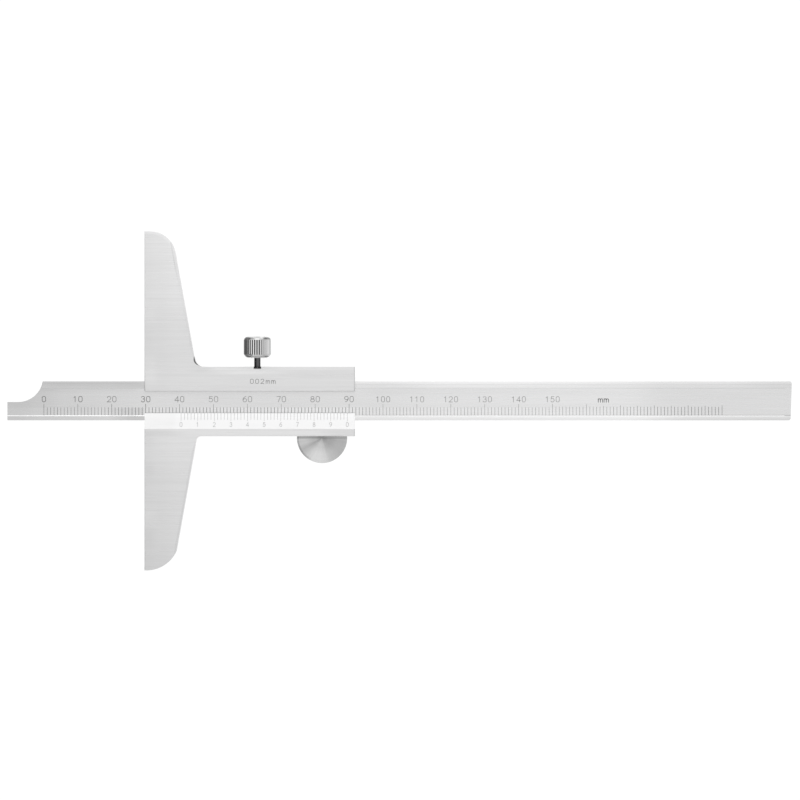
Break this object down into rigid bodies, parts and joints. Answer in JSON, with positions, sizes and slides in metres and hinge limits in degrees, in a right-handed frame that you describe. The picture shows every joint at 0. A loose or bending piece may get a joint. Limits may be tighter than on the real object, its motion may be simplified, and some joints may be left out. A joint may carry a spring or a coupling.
{
  "type": "vernier depth gauge",
  "caption": "Vernier depth gauge: T-shaped steel frame with a long measuring face, a graduated beam that slides through it, a bevelled vernier and a knurled lock screw.",
  "frame": {"origin": "middle of the measuring face, half way along the base and half way through its thickness", "axes": "+X along the beam, out of the back of the measuring face towards the beam's free end; +Y along the base towards the lock screw; +Z out of the graduated face"},
  "size_m": [0.2314, 0.1, 0.0079],
  "materials": {
    "frame_steel": "satin",
    "beam_steel": "satin",
    "vernier_satin": "matt chrome",
    "turned_steel": "fine turned",
    "screw_steel": "plain",
    "knob_chrome": "bright",
    "black_steel": "black oxide",
    "brass": "turned",
    "spring_bronze": "rolled"
  },
  "bodies": {
    "frame": {"base_frame": "frame_steel", "vernier_plate": "vernier_satin", "vernier_screws": "screw_steel", "gib_spring": "spring_bronze", "thumb_rest": "turned_steel", "thumb_rest_dowels": "screw_steel"},
    "beam": {"beam": "beam_steel"},
    "lock_pad": {"lock_pad": "brass"},
    "lock_screw": {"lock_screw_knob": "knob_chrome", "lock_screw_stud": "black_steel"}
  },
  "joints": [
    {"name": "beam_slide", "type": "slide", "parent": "frame", "child": "beam", "axis": [1, 0, 0], "range_m": [-0.10952, 0.04048]},
    {"name": "lock_press", "type": "slide", "parent": "frame", "child": "lock_pad", "axis": [0, 1, 0], "range_m": [-0.00022, 0.0009], "deforming": ["gib_spring"]},
    {"name": "lock_turn", "type": "hinge", "parent": "lock_pad", "child": "lock_screw", "pos_m": [0.0332, 0.01, 0.00045], "axis": [0, 1, 0], "range_deg": [-180, 720]}
  ],
  "couplings": [
    {"joint": "lock_turn", "follows": "lock_press", "rad_per_m": 13963}
  ]
}
